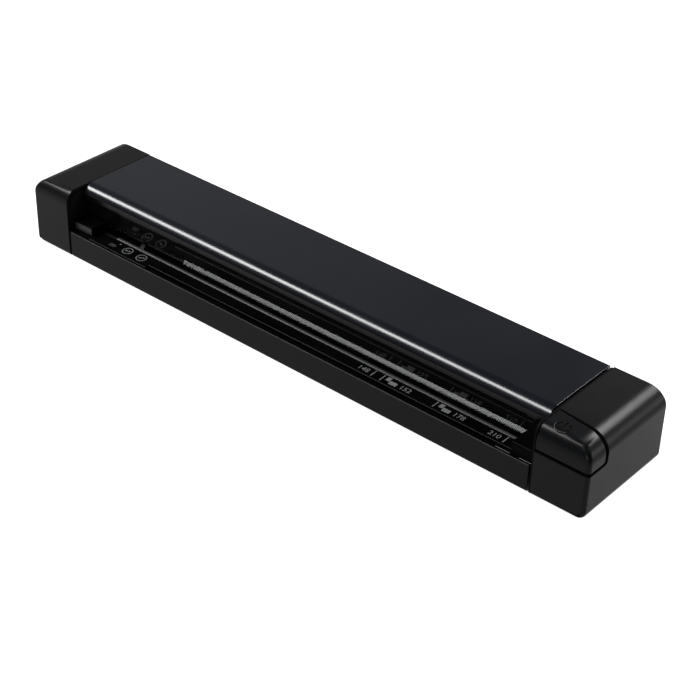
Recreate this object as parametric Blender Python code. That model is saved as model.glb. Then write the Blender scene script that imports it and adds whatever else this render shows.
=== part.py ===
"""Sheet fed document scanner, desk-top strip model, built in millimetres and scaled to metres.

X runs along the length (the power button is at +X), the paper goes in at -Y and out at +Y, and the
rubber feet stand on z = 0.
"""
import math

import bmesh
import bpy
from mathutils import Matrix, Vector

MM = 0.001
GAP = 0.3                    # clearance kept between neighbouring pieces
WALL = 1.6                   # thickness of the outer plastic shells

# Overall size
LENGTH = 288.0
DEPTH = 49.0
HEIGHT = 31.0
FOOT_STAND = 0.3             # how far the feet lift the shell
X_END = LENGTH / 2
Y_REAR = DEPTH / 2
Y_FRONT = -DEPTH / 2
Z_TOP = HEIGHT
Z_BASE = FOOT_STAND

# End caps
LEFT_CAP_X = -122.7          # inner rim of the left cap
RIGHT_CAP_X = 121.0          # inner rim of the right cap
CAP_TOP_RADIUS = 8.3
CAP_BOTTOM_RADIUS = 3.5
CAP_NOSE_RADIUS = 5.2        # front edge along the top
CAP_CORNER_RADIUS = 1.6      # upright edges

# Middle shells
LEFT_SEAM = 0.8              # the wide seams, seen as dark lines
RIGHT_SEAM = 1.7
COVER_X = (LEFT_CAP_X + GAP, RIGHT_CAP_X - RIGHT_SEAM)
HOUSING_X = (LEFT_CAP_X + LEFT_SEAM, RIGHT_CAP_X - RIGHT_SEAM)
HOUSING_SETBACK = 0.3        # the lower front lies this far behind the caps
HOUSING_RIM_Z = 12.1
HOUSING_RIM = 0.6            # the front wall thins to this above the rebate
REBATE_Z = 9.6
HOUSING_REAR_Z = 11.9
LIP_Y = -9.2                 # centre of the rolled front lip of the cover
LIP_RADIUS = 6.5
LIP_END_ANGLE = 156.0
EXIT_X = (-108.0, 112.0)
EXIT_TOP_Z = 16.5

# Paper path
LEDGE_Z = 12.7
LEDGE_Y = (Y_FRONT + HOUSING_SETBACK + HOUSING_RIM + GAP, -9.65)
RIDGE_Y = -14.65
RIDGE_RADIUS = 1.4
RIDGE_HEIGHT = 0.4           # how far the ridge stands above the ledge
GROOVE_X = (-77.0, RIGHT_CAP_X + 0.1)
GROOVE_Y = -21.1
GROOVE_Z = 11.1
PATH_X = (-122.2, RIGHT_CAP_X - 1.1)
MIRROR_TOP = (-15.3, 26.7)   # front face of the upper guide, (y, z) at its top and bottom
MIRROR_BOTTOM = (-13.9, 18.0)
DECK_Z = 11.8
DECK_X = (-107.4, 120.0)

# Paper guides
STOP_X = (-121.9, -110.9)
STOP_TOP_Z = 16.9
STOP_FRONT_Y = -21.5
GUIDE_X = (110.4, 119.4)
GUIDE_TOP_Z = 17.7
GUIDE_FRONT_Y = -22.8
GUIDE_SHOE_X = (102.6, 119.6)
GUIDE_SHOE_TOP_Z = 12.4
GUIDE_REAR_Y = -11.5

# Rollers: (y, z) of each axis
PLATEN_AXIS = (-3.5, 7.8)
EXIT_AXIS = (13.0, 7.8)
ROLLER_RADIUS = 4.5
SHAFT_RADIUS = 2.0
PLATEN_SLEEVE_X = (-71.0, 105.7)
PINCH_RADIUS = 2.5
PINCH_AXIS = (EXIT_AXIS[0], EXIT_AXIS[1] + ROLLER_RADIUS + GAP + PINCH_RADIUS)
TYRE_CENTRES = (-70.0, 0.0, 70.0)
TYRE_WIDTH = 12.0
PINCH_WIDTH = 9.0
CLIP_CENTRES = (-82.0, 82.0)

# Gear train, module 0.5, outside the left side plate
MODULE = 0.5
PLATEN_TEETH = 20
IDLER_TEETH = 13
EXIT_TEETH = 20
SMALL_TEETH = 12
LARGE_TEETH = 30
PINION_TEETH = 10
IDLER_AXIS = (PLATEN_AXIS[0] + MODULE * (PLATEN_TEETH + IDLER_TEETH) / 2, PLATEN_AXIS[1])
COMPOUND_ANGLE = 75.0        # direction from the platen axis to the compound gear
MOTOR_ANGLE = 30.0           # direction from the compound gear to the motor
INNER_LAYER_X = (-126.9, -124.9)
OUTER_LAYER_X = (-130.0, -127.2)

# Side plates
PLATE_THICKNESS = 1.4
LEFT_PLATE_X = (LEFT_CAP_X - 0.2 - PLATE_THICKNESS, LEFT_CAP_X - 0.2)
RIGHT_PLATE_X = (RIGHT_CAP_X + GAP, RIGHT_CAP_X + GAP + PLATE_THICKNESS)
BUSH_OUTER = 3.4

# Power button, the front top corner of the right cap
BUTTON_X = RIGHT_CAP_X + 0.5
BUTTON_Y = -11.25
BUTTON_Z = 21.1
BUTTON_TRAVEL = 0.6
NOTCH_Y = BUTTON_Y + 0.8
NOTCH_Z = BUTTON_Z - 1.6
STEM_CENTRE = (131.0, -16.5)

# Image sensor bar
SENSOR_X = (-107.5, 109.5)
SENSOR_Y = (-10.6, 0.9)
SENSOR_Z = (13.3, 22.6)

# Paper detector
LEVER_X = -90.0
LEVER_AXIS = (-14.5, 8.7)

FOOT_PLACES = [(x, y) for x in (-132.0, 132.0) for y in (-15.0, 15.0)]
FOOT_RADIUS = 4.5
FOOT_THICKNESS = 0.9         # each foot stands partly inside a shallow recess
SCREW_PLACES = [(-112.0, -16.0), (112.0, -16.0), (-95.0, 19.0), (95.0, 19.0)]

MATTE_BLACK = (0.022, 0.023, 0.026)
SATIN_BLACK = (0.020, 0.021, 0.025)
GLOSS_BLACK = (0.006, 0.006, 0.007)
RUBBER_GREY = (0.16, 0.16, 0.165)
RUBBER_BLACK = (0.02, 0.02, 0.02)
STEEL = (0.62, 0.62, 0.64)
BRONZE = (0.55, 0.36, 0.16)
NYLON = (0.75, 0.74, 0.70)
BOARD_GREEN = (0.02, 0.13, 0.05)


def clear_scene():
    for old in list(bpy.data.objects):
        bpy.data.objects.remove(old, do_unlink=True)


# ---------------------------------------------------------------- shapes

def arc(cx, cy, radius, start, end, steps):
    """Points on a circle from angle start to angle end, in degrees."""
    points = []
    for i in range(steps + 1):
        angle = math.radians(start + (end - start) * i / steps)
        points.append((cx + radius * math.cos(angle), cy + radius * math.sin(angle)))
    return points


def rounded_rectangle(low, high, radii, steps=6):
    """Outline of a rectangle; radii at the corners (low, low), (high, low), (high, high), (low, high)."""
    (a0, b0), (a1, b1) = low, high
    corners = [(a0, b0, 1, 1, 180), (a1, b0, -1, 1, 270), (a1, b1, -1, -1, 0), (a0, b1, 1, -1, 90)]
    outline = []
    for (a, b, sa, sb, start), radius in zip(corners, radii):
        if radius <= 0:
            outline.append((a, b))
        else:
            outline += arc(a + sa * radius, b + sb * radius, radius, start, start + 90, steps)
    return outline


def circle(centre, radius, steps):
    return arc(centre[0], centre[1], radius, 0, 360 - 360 / steps, steps - 1)


def new_object(name, mesh):
    mesh.name = name
    piece = bpy.data.objects.new(name, mesh)
    bpy.context.scene.collection.objects.link(piece)
    return piece


def mesh_object(name, bm):
    bmesh.ops.recalc_face_normals(bm, faces=bm.faces)
    mesh = bpy.data.meshes.new(name)
    bm.to_mesh(mesh)
    bm.free()
    return new_object(name, mesh)


def on_axis(axis, along, point):
    """Place a 2-D outline point at a distance along the extrusion axis, in metres."""
    a, b = point
    place = {"x": (along, a, b), "y": (a, along, b), "z": (a, b, along)}[axis]
    return Vector(place) * MM


def prism(name, outline, axis, low, high):
    """Closed extrusion of an outline: (y, z) along x, (x, z) along y, (x, y) along z."""
    bm = bmesh.new()
    near = [bm.verts.new(on_axis(axis, low, p)) for p in outline]
    far = [bm.verts.new(on_axis(axis, high, p)) for p in outline]
    bm.faces.new(near)
    bm.faces.new(far)
    count = len(outline)
    for i in range(count):
        j = (i + 1) % count
        bm.faces.new((near[i], near[j], far[j], far[i]))
    return mesh_object(name, bm)


def box(name, xs, ys, zs):
    outline = [(ys[0], zs[0]), (ys[1], zs[0]), (ys[1], zs[1]), (ys[0], zs[1])]
    return prism(name, outline, "x", xs[0], xs[1])


def rod(name, centre, radius, axis, ends, steps=20):
    return prism(name, circle(centre, radius, steps), axis, ends[0], ends[1])


def tube(name, centre, outer, inner, ends, steps=20):
    """Ring extruded along X."""
    bm = bmesh.new()
    rings = []
    for radius, along in ((outer, ends[0]), (outer, ends[1]), (inner, ends[1]), (inner, ends[0])):
        rings.append([bm.verts.new(on_axis("x", along, p)) for p in circle(centre, radius, steps)])
    for k in range(4):
        ring, after = rings[k], rings[(k + 1) % 4]
        for i in range(steps):
            j = (i + 1) % steps
            bm.faces.new((ring[i], ring[j], after[j], after[i]))
    return mesh_object(name, bm)


def coil(name, centre, radius, wire, zs, turns):
    """Round wire wound up the Z axis, with closed ends."""
    sides, per_turn = 6, 12
    bm = bmesh.new()
    rings = []
    count = int(turns * per_turn)
    climb = (zs[1] - zs[0] - 2 * wire) / count
    for i in range(count + 1):
        turn = math.tau * i / per_turn
        outward = Vector((math.cos(turn), math.sin(turn), 0))
        middle = Vector((centre[0], centre[1], zs[0] + wire + climb * i)) + outward * radius
        ring = []
        for k in range(sides):
            around = math.tau * k / sides
            offset = outward * math.cos(around) + Vector((0, 0, math.sin(around)))
            ring.append(bm.verts.new((middle + offset * wire) * MM))
        rings.append(ring)
    for ring, after in zip(rings, rings[1:]):
        for k in range(sides):
            m = (k + 1) % sides
            bm.faces.new((ring[k], ring[m], after[m], after[k]))
    bm.faces.new(rings[0])
    bm.faces.new(rings[-1])
    return mesh_object(name, bm)


def change(piece, tool, operation):
    """Boolean the piece with a hidden tool object."""
    tool.hide_render = True
    tool.display_type = "WIRE"
    step = piece.modifiers.new(tool.name, "BOOLEAN")
    step.operation = operation
    step.solver = "EXACT"
    step.object = tool
    return piece


def cut(piece, *tools):
    for tool in tools:
        change(piece, tool, "DIFFERENCE")


def join(piece, *tools):
    for tool in tools:
        change(piece, tool, "UNION")


def finish(piece, colour, roughness, metallic=0.0, origin=None):
    """Give a piece its origin (its joint axis, or its middle), its material and its shading."""
    if origin is None:
        corners = [Vector(c) for c in piece.bound_box]
        centre = sum(corners, Vector()) / 8
    else:
        centre = Vector(origin) * MM
    piece.data.transform(Matrix.Translation(-centre))
    piece.location = centre
    material = bpy.data.materials.new(piece.name)
    material.use_nodes = True
    shader = material.node_tree.nodes["Principled BSDF"]
    shader.inputs["Base Color"].default_value = (*colour, 1.0)
    shader.inputs["Roughness"].default_value = roughness
    shader.inputs["Metallic"].default_value = metallic
    piece.data.materials.append(material)
    piece.data.shade_smooth()
    piece.data.set_sharp_from_angle(angle=math.radians(30))
    return piece


# ---------------------------------------------------------------- casing

def end_solid(name, side, rim_x, inset):
    """The solid shape of an end cap, shrunk by inset; side is -1 for the left end and +1 for the right."""
    outer_x = side * (X_END - inset)
    rim = rim_x - side * inset
    low_x, high_x = min(rim, outer_x), max(rim, outer_x)
    z0, z1 = Z_BASE + inset, Z_TOP - inset
    y0, y1 = Y_FRONT + inset, Y_REAR - inset
    top = CAP_TOP_RADIUS - inset
    bottom = CAP_BOTTOM_RADIUS - inset
    corner = max(CAP_CORNER_RADIUS - inset, 0.4)
    if side < 0:
        end_radii = (bottom, 0, 0, top)
        plan_radii = (corner, 0, 0, corner / 2)
    else:
        end_radii = (0, bottom, top, 0)
        plan_radii = (0, corner, corner / 2, 0)
    solid = prism(name, rounded_rectangle((low_x, z0), (high_x, z1), end_radii, 8), "y", y0 - 1, y1 + 1)
    nose_radii = (1.0, 0.6, 0.6, CAP_NOSE_RADIUS - inset)
    profile = rounded_rectangle((y0, z0), (y1, z1), nose_radii)
    plan = rounded_rectangle((low_x, y0), (high_x, y1), plan_radii, 4)
    change(solid, prism(name + "_profile", profile, "x", low_x - 1, high_x + 1), "INTERSECT")
    change(solid, prism(name + "_plan", plan, "z", z0 - 1, z1 + 1), "INTERSECT")
    return solid


def foot_recesses(cap, side):
    """Shallow round pockets under a cap for its two feet."""
    depth = (Z_BASE - 2, FOOT_THICKNESS + GAP)
    for i, place in enumerate(FOOT_PLACES):
        if place[0] * side > 0:
            cut(cap, rod(f"foot_recess_{i}", place, FOOT_RADIUS + GAP, "z", depth, 24))


def left_cap():
    cap = end_solid("left_cap", -1, LEFT_CAP_X, 0)
    cut(cap, end_solid("left_cap_cavity", -1, LEFT_CAP_X, WALL))
    foot_recesses(cap, -1)
    finish(cap, MATTE_BLACK, 0.5)


def right_cap():
    cap = end_solid("right_cap", 1, RIGHT_CAP_X, 0)
    cut(cap, end_solid("right_cap_cavity", 1, RIGHT_CAP_X, WALL))
    inner_x = (RIGHT_PLATE_X[1] + GAP, X_END - WALL / 2)
    front_y = Y_FRONT + WALL / 2
    floor = box("button_well_floor", inner_x, (front_y, NOTCH_Y + 1.4), (NOTCH_Z - 1.4, NOTCH_Z + 0.3))
    wall = box("button_well_wall", inner_x, (NOTCH_Y - 0.3, NOTCH_Y + 1.4), (NOTCH_Z - 0.5, Z_TOP - WALL / 2))
    for web in (floor, wall):
        change(web, end_solid(web.name + "_trim", 1, RIGHT_CAP_X, WALL / 2), "INTERSECT")
    join(cap, floor, wall)
    notch = box("button_notch", (RIGHT_CAP_X - 2, X_END + 2), (Y_FRONT - 2, NOTCH_Y), (NOTCH_Z, Z_TOP + 2))
    stem_hole = rod("button_stem_hole", STEM_CENTRE, 1.7, "z", (NOTCH_Z - 3, NOTCH_Z + 2), 16)
    usb_window = box("usb_window", (126.9, 136.1), (Y_REAR - 4, Y_REAR + 2), (4.9, 9.6))
    cut(cap, notch, stem_hole, usb_window)
    foot_recesses(cap, 1)
    finish(cap, MATTE_BLACK, 0.5)


def power_button():
    button = end_solid("power_button", 1, RIGHT_CAP_X, 0)
    cut(button, end_solid("power_button_cavity", 1, RIGHT_CAP_X, WALL))
    keep = box("power_button_keep", (BUTTON_X, X_END + 2), (Y_FRONT - 2, BUTTON_Y), (BUTTON_Z, Z_TOP + 2))
    change(button, keep, "INTERSECT")
    stem_z = (15.1, Z_TOP - WALL / 2)
    join(button, rod("power_button_stem", STEM_CENTRE, 1.2, "z", stem_z, 12))
    finish(button, SATIN_BLACK, 0.35, origin=(*STEM_CENTRE, Z_TOP))
    spring_z = (NOTCH_Z + 0.2, Z_TOP - WALL - 0.2)
    spring = coil("button_spring", STEM_CENTRE, 2.4, 0.25, spring_z, 5)
    finish(spring, STEEL, 0.35, 1.0)


def top_cover():
    centre_z = Z_TOP - LIP_RADIUS
    outer = arc(LIP_Y, centre_z, LIP_RADIUS, LIP_END_ANGLE, 90, 10)
    rear = arc(Y_REAR - 0.8, Z_TOP - 0.8, 0.8, 90, 0, 3)
    seam_z = HOUSING_REAR_Z + GAP
    inner = arc(LIP_Y, centre_z, LIP_RADIUS - WALL, 90, LIP_END_ANGLE, 10)
    corner = [(Y_REAR, seam_z), (Y_REAR - WALL, seam_z), (Y_REAR - WALL, Z_TOP - WALL)]
    cover = prism("top_cover", outer + rear + corner + inner, "x", *COVER_X)
    cut(cover, box("exit_window", EXIT_X, (Y_REAR - 4, Y_REAR + 2), (0, EXIT_TOP_Z)))
    finish(cover, SATIN_BLACK, 0.3)
    bar = box("cover_stiffener", (-116, 116), (-9.5, 5.0), (27.6, 28.5))
    finish(bar, STEEL, 0.4, 1.0)


def lower_housing():
    front = Y_FRONT + HOUSING_SETBACK
    inner_front = front + WALL - GAP
    inner_rear = Y_REAR - WALL
    floor_z = Z_BASE + WALL
    outline = [(front, HOUSING_RIM_Z)]
    outline += arc(front + 1.2, Z_BASE + 1.2, 1.2, 180, 270, 4)
    outline += arc(Y_REAR - 0.8, Z_BASE + 0.8, 0.8, 270, 360, 3)
    outline += [(Y_REAR, HOUSING_REAR_Z), (inner_rear, HOUSING_REAR_Z), (inner_rear, floor_z)]
    outline += [(inner_front, floor_z), (inner_front, REBATE_Z)]
    outline += [(front + HOUSING_RIM, REBATE_Z), (front + HOUSING_RIM, HOUSING_RIM_Z)]
    housing = prism("lower_housing", outline, "x", *HOUSING_X)
    for i, place in enumerate(SCREW_PLACES):
        cut(housing, rod(f"screw_hole_{i}", place, 1.5, "z", (0, 4), 12))
        cut(housing, rod(f"screw_sink_{i}", place, 3.1, "z", (0, Z_BASE + 0.9), 16))
    finish(housing, MATTE_BLACK, 0.5)


def side_plates():
    """Chassis plates that carry the rollers, one just inside each cap."""
    low = (Y_FRONT + WALL + 0.4, Z_BASE + WALL + 0.4)
    high = (Y_REAR - WALL - 0.4, Z_TOP - WALL - 0.9)
    outline = rounded_rectangle(low, high, (1, 1, 1, 4.0), 5)
    motor = motor_axis()
    for side, ends in (("left", LEFT_PLATE_X), ("right", RIGHT_PLATE_X)):
        plate = prism(f"{side}_side_plate", outline, "x", *ends)
        through = (ends[0] - 1, ends[1] + 1)
        for roller, axis in (("platen", PLATEN_AXIS), ("exit", EXIT_AXIS)):
            cut(plate, rod(f"{side}_{roller}_bore", axis, BUSH_OUTER + GAP, "x", through, 20))
        if side == "left":
            cut(plate, rod("motor_shaft_hole", motor, 1.6, "x", through, 16))
        finish(plate, GLOSS_BLACK, 0.25)


def feet_and_screws():
    for i, place in enumerate(FOOT_PLACES, 1):
        foot = rod(f"foot_{i}", place, FOOT_RADIUS, "z", (0, FOOT_THICKNESS), 24)
        finish(foot, RUBBER_BLACK, 0.8)
    for i, place in enumerate(SCREW_PLACES, 1):
        screw = rod(f"housing_screw_{i}", place, 2.6, "z", (Z_BASE + 0.1, Z_BASE + 0.6), 16)
        join(screw, rod(f"screw_shank_{i}", place, 1.0, "z", (Z_BASE + 0.3, 8.4), 10))
        finish(screw, STEEL, 0.35, 1.0)


# ---------------------------------------------------------------- paper path

def input_ledge():
    """The feed shelf with its rail groove, rear ridge and throat, one moulding with its screw bosses."""
    front, rear = LEDGE_Y
    under = LEDGE_Z - 1.3
    rise = math.degrees(math.acos((RIDGE_RADIUS - RIDGE_HEIGHT) / RIDGE_RADIUS))
    ridge_z = LEDGE_Z + RIDGE_HEIGHT - RIDGE_RADIUS
    ridge = arc(RIDGE_Y, ridge_z, RIDGE_RADIUS, 90 + rise, 15, 8)
    outline = [(front, LEDGE_Z - 2.8), (front, LEDGE_Z)] + ridge
    outline += [(rear, LEDGE_Z - 1.4), (rear, LEDGE_Z - 2.4), (RIDGE_Y + 1.1, LEDGE_Z - 2.4)]
    outline += [(RIDGE_Y + 0.4, under), (-19.2, under), (-19.2, LEDGE_Z - 2.8)]
    ledge = prism("input_ledge", outline, "x", *PATH_X)
    for i, place in enumerate(SCREW_PLACES[:2]):
        join(ledge, rod(f"ledge_boss_{i}", place, 2.8, "z", (Z_BASE + WALL + 0.5, under + 0.4), 16))
        cut(ledge, rod(f"ledge_pilot_{i}", place, 1.4, "z", (0, LEDGE_Z - 3), 12))
    for i, offset in enumerate((-3.1, 3.1)):
        lug_x = (LEVER_X + offset - 0.5, LEVER_X + offset + 0.5)
        lug = box(f"lever_lug_{i}", lug_x, (LEVER_AXIS[0] - 1.8, LEVER_AXIS[0] + 1.8), (6.3, under + 0.4))
        join(ledge, lug)
        cut(ledge, rod(f"lever_bore_{i}", LEVER_AXIS, 1.0, "x", (lug_x[0] - 1, lug_x[1] + 1), 12))
    groove = box("rail_groove", GROOVE_X, (front - 2, GROOVE_Y), (GROOVE_Z, LEDGE_Z + 2))
    slot_y = (LEVER_AXIS[0] + 0.5, rear + 2)
    slot = box("lever_slot", (LEVER_X - 1.7, LEVER_X + 1.7), slot_y, (LEDGE_Z - 4, LEDGE_Z + 2))
    cut(ledge, groove, slot)
    finish(ledge, GLOSS_BLACK, 0.15)


def upper_guide():
    """Polished wall under the lip of the cover; its lower edge and the ledge form the feed mouth."""
    (y_top, z_top), (y_low, z_low) = MIRROR_TOP, MIRROR_BOTTOM
    thick = 1.2
    outline = [(y_top, z_top), (y_low, z_low), (y_low + thick, z_low), (y_top + thick, z_top - 0.45)]
    finish(prism("upper_guide", outline, "x", *PATH_X), GLOSS_BLACK, 0.08)


def paper_deck():
    """Lower guide behind the platen roller, with a window for each exit tyre."""
    low_y, high_y = 1.6, Y_REAR - WALL - 0.4
    deck = box("paper_deck", DECK_X, (low_y, high_y), (DECK_Z - 1.2, DECK_Z))
    for i, centre in enumerate(TYRE_CENTRES):
        half = TYRE_WIDTH / 2 + 1
        ys = (EXIT_AXIS[0] - ROLLER_RADIUS - 0.8, EXIT_AXIS[0] + ROLLER_RADIUS + 0.8)
        cut(deck, box(f"tyre_window_{i}", (centre - half, centre + half), ys, (DECK_Z - 4, DECK_Z + 2)))
    for i, place in enumerate(SCREW_PLACES[2:]):
        join(deck, rod(f"deck_boss_{i}", place, 2.4, "z", (Z_BASE + WALL + 0.5, DECK_Z - 0.8), 16))
        cut(deck, rod(f"deck_pilot_{i}", place, 1.4, "z", (0, DECK_Z - 2), 12))
    finish(deck, GLOSS_BLACK, 0.3)


def exit_guide():
    """Upper guide over the exit rollers, with a window for each pinch roller, and its shaft clips."""
    low_z = EXIT_TOP_Z + 0.1
    guide = box("exit_guide", DECK_X, (1.6, Y_REAR - WALL - 0.4), (low_z, low_z + 1.2))
    for i, centre in enumerate(TYRE_CENTRES):
        half = PINCH_WIDTH / 2 + 1
        ys = (PINCH_AXIS[0] - PINCH_RADIUS - 0.6, PINCH_AXIS[0] + PINCH_RADIUS + 0.6)
        cut(guide, box(f"pinch_window_{i}", (centre - half, centre + half), ys, (low_z - 2, low_z + 3)))
    finish(guide, GLOSS_BLACK, 0.3)
    for i, centre in enumerate(CLIP_CENTRES, 1):
        zs = (PINCH_AXIS[1] - 1.9, low_z - GAP)
        clip = box(f"pinch_clip_{i}", (centre - 1.5, centre + 1.5), (11.0, 15.0), zs)
        bore_x = (centre - 3, centre + 3)
        cut(clip, rod(f"pinch_clip_bore_{i}", PINCH_AXIS, 1.3, "x", bore_x, 12))
        finish(clip, NYLON, 0.5)


def guide_outline(top_z, front_y, nose):
    """Side view of a paper guide standing on the ledge, stepped over the ridge."""
    low = LEDGE_Z + GAP
    over = LEDGE_Z + RIDGE_HEIGHT + GAP
    step_y = RIDGE_Y - RIDGE_RADIUS - 0.1
    outline = [(front_y, low), (step_y, low), (step_y, over), (GUIDE_REAR_Y, over), (GUIDE_REAR_Y, top_z)]
    outline += arc(front_y + nose, top_z - nose, nose, 90, 180, 5)
    return outline


def paper_guides():
    stop = prism("left_guide_stop", guide_outline(STOP_TOP_Z, STOP_FRONT_Y, 1.5), "x", *STOP_X)
    finish(stop, GLOSS_BLACK, 0.2)
    guide = prism("paper_guide", guide_outline(GUIDE_TOP_Z, GUIDE_FRONT_Y, 1.0), "x", *GUIDE_X)
    shoe_y = (LEDGE_Y[0] + 0.2, GROOVE_Y - 0.4)
    shoe = box("guide_shoe", GUIDE_SHOE_X, shoe_y, (GROOVE_Z + GAP, GUIDE_SHOE_TOP_Z))
    neck_y = (GUIDE_FRONT_Y, GROOVE_Y - 0.4)
    neck = box("guide_neck", GUIDE_X, neck_y, (GUIDE_SHOE_TOP_Z - 0.5, LEDGE_Z + 0.5))
    join(guide, neck, shoe)
    middle_x = (GUIDE_X[0] + GUIDE_X[1]) / 2
    finish(guide, GLOSS_BLACK, 0.2, origin=(middle_x, GROOVE_Y, LEDGE_Z))


# ---------------------------------------------------------------- rollers

def rollers():
    ends = (INNER_LAYER_X[0] + 0.1, RIGHT_PLATE_X[1] + 1.0)
    for name, axis in (("platen", PLATEN_AXIS), ("exit", EXIT_AXIS)):
        shaft = rod(f"{name}_shaft", axis, SHAFT_RADIUS, "x", ends)
        finish(shaft, STEEL, 0.3, 1.0, origin=(0, *axis))
        for side, plate in (("left", LEFT_PLATE_X), ("right", RIGHT_PLATE_X)):
            bush_x = (plate[0] - 0.1, plate[1] + 0.1)
            bush = tube(f"{name}_bush_{side}", axis, BUSH_OUTER, SHAFT_RADIUS + GAP, bush_x)
            finish(bush, BRONZE, 0.35, 0.8)
    sleeve = tube("platen_sleeve", PLATEN_AXIS, ROLLER_RADIUS, SHAFT_RADIUS + GAP, PLATEN_SLEEVE_X, 28)
    finish(sleeve, RUBBER_GREY, 0.8, origin=(0, *PLATEN_AXIS))
    pinch_x = (CLIP_CENTRES[0] - 3, CLIP_CENTRES[1] + 3)
    finish(rod("pinch_shaft", PINCH_AXIS, 1.0, "x", pinch_x, 12), STEEL, 0.3, 1.0, origin=(0, *PINCH_AXIS))
    for i, centre in enumerate(TYRE_CENTRES, 1):
        tyre_x = (centre - TYRE_WIDTH / 2, centre + TYRE_WIDTH / 2)
        tyre = tube(f"exit_tyre_{i}", EXIT_AXIS, ROLLER_RADIUS, SHAFT_RADIUS + GAP, tyre_x, 24)
        finish(tyre, RUBBER_GREY, 0.8, origin=(centre, *EXIT_AXIS))
        pinch_ends = (centre - PINCH_WIDTH / 2, centre + PINCH_WIDTH / 2)
        pinch = tube(f"pinch_roller_{i}", PINCH_AXIS, PINCH_RADIUS, 1.0 + GAP, pinch_ends, 20)
        finish(pinch, NYLON, 0.5, origin=(centre, *PINCH_AXIS))


# ---------------------------------------------------------------- gear train

def step_from(axis, angle, distance):
    turn = math.radians(angle)
    return (axis[0] + distance * math.cos(turn), axis[1] + distance * math.sin(turn))


def compound_axis():
    return step_from(PLATEN_AXIS, COMPOUND_ANGLE, MODULE * (PLATEN_TEETH + SMALL_TEETH) / 2)


def motor_axis():
    return step_from(compound_axis(), MOTOR_ANGLE, MODULE * (LARGE_TEETH + PINION_TEETH) / 2)


def gear_outline(axis, teeth, phase):
    """Spur gear in (y, z); phase is the direction of one tooth's middle, in degrees."""
    pitch_radius = MODULE * teeth / 2
    pitch = 360 / teeth
    tip, root = pitch_radius + 0.38, pitch_radius - 0.62
    outline = []
    for i in range(teeth):
        middle = phase + pitch * i
        for radius, share in ((root, -0.29), (tip, -0.10), (tip, 0.10), (root, 0.29)):
            outline.append(arc(axis[0], axis[1], radius, middle + share * pitch, middle, 1)[0])
    return outline


def turn_over(teeth, phase, direction, other_teeth):
    """How far a meshing gear turns so that its gap meets the tooth nearest the line of centres."""
    pitch = 360 / teeth
    lead = (phase - direction + pitch / 2) % pitch - pitch / 2
    return -lead * teeth / other_teeth


def gear(name, axis, teeth, phase, ends, bore):
    wheel = prism(name, gear_outline(axis, teeth, phase), "x", *ends)
    cut(wheel, rod(f"{name}_bore", axis, bore, "x", (ends[0] - 1, ends[1] + 1), 16))
    finish(wheel, NYLON, 0.45, origin=(ends[0], *axis))


def gears():
    half = 180
    platen_phase = 0.0
    idler_phase = half + half / IDLER_TEETH
    exit_phase = half + half / EXIT_TEETH + turn_over(IDLER_TEETH, idler_phase, 0.0, EXIT_TEETH)
    gear("platen_gear", PLATEN_AXIS, PLATEN_TEETH, platen_phase, INNER_LAYER_X, SHAFT_RADIUS + GAP)
    gear("idler_gear", IDLER_AXIS, IDLER_TEETH, idler_phase, INNER_LAYER_X, 1.3)
    gear("exit_gear", EXIT_AXIS, EXIT_TEETH, exit_phase, INNER_LAYER_X, SHAFT_RADIUS + GAP)
    axis = compound_axis()
    small_phase = COMPOUND_ANGLE + half + half / SMALL_TEETH
    small_phase += turn_over(PLATEN_TEETH, platen_phase, COMPOUND_ANGLE, SMALL_TEETH)
    large = prism("compound_gear", gear_outline(axis, LARGE_TEETH, MOTOR_ANGLE), "x", *OUTER_LAYER_X)
    small_x = (OUTER_LAYER_X[1] - 0.2, INNER_LAYER_X[1])
    join(large, prism("compound_small", gear_outline(axis, SMALL_TEETH, small_phase), "x", *small_x))
    cut(large, rod("compound_bore", axis, 1.3, "x", (OUTER_LAYER_X[0] - 2, INNER_LAYER_X[1] + 2), 16))
    finish(large, NYLON, 0.45, origin=(OUTER_LAYER_X[1], *axis))
    pinion_phase = MOTOR_ANGLE + half + half / PINION_TEETH
    gear("motor_pinion", motor_axis(), PINION_TEETH, pinion_phase, OUTER_LAYER_X, 1.05)
    pins = (("idler_pin", IDLER_AXIS, INNER_LAYER_X[0]), ("compound_pin", axis, OUTER_LAYER_X[0]))
    for name, centre, far_x in pins:
        pin = rod(name, centre, 1.0, "x", (far_x - 0.4, LEFT_PLATE_X[0] - GAP), 12)
        finish(pin, STEEL, 0.3, 1.0)


def motor():
    axis = motor_axis()
    can_x = (LEFT_PLATE_X[1] + GAP, LEFT_PLATE_X[1] + GAP + 13.5)
    can = rod("motor", axis, 6.0, "x", can_x, 28)
    finish(can, STEEL, 0.4, 1.0)
    shaft_x = (OUTER_LAYER_X[0] - 0.5, can_x[0] - GAP)
    shaft = rod("motor_shaft", axis, 0.75, "x", shaft_x, 12)
    finish(shaft, STEEL, 0.3, 1.0, origin=(shaft_x[0], *axis))


# ---------------------------------------------------------------- sensing and electronics

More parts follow.
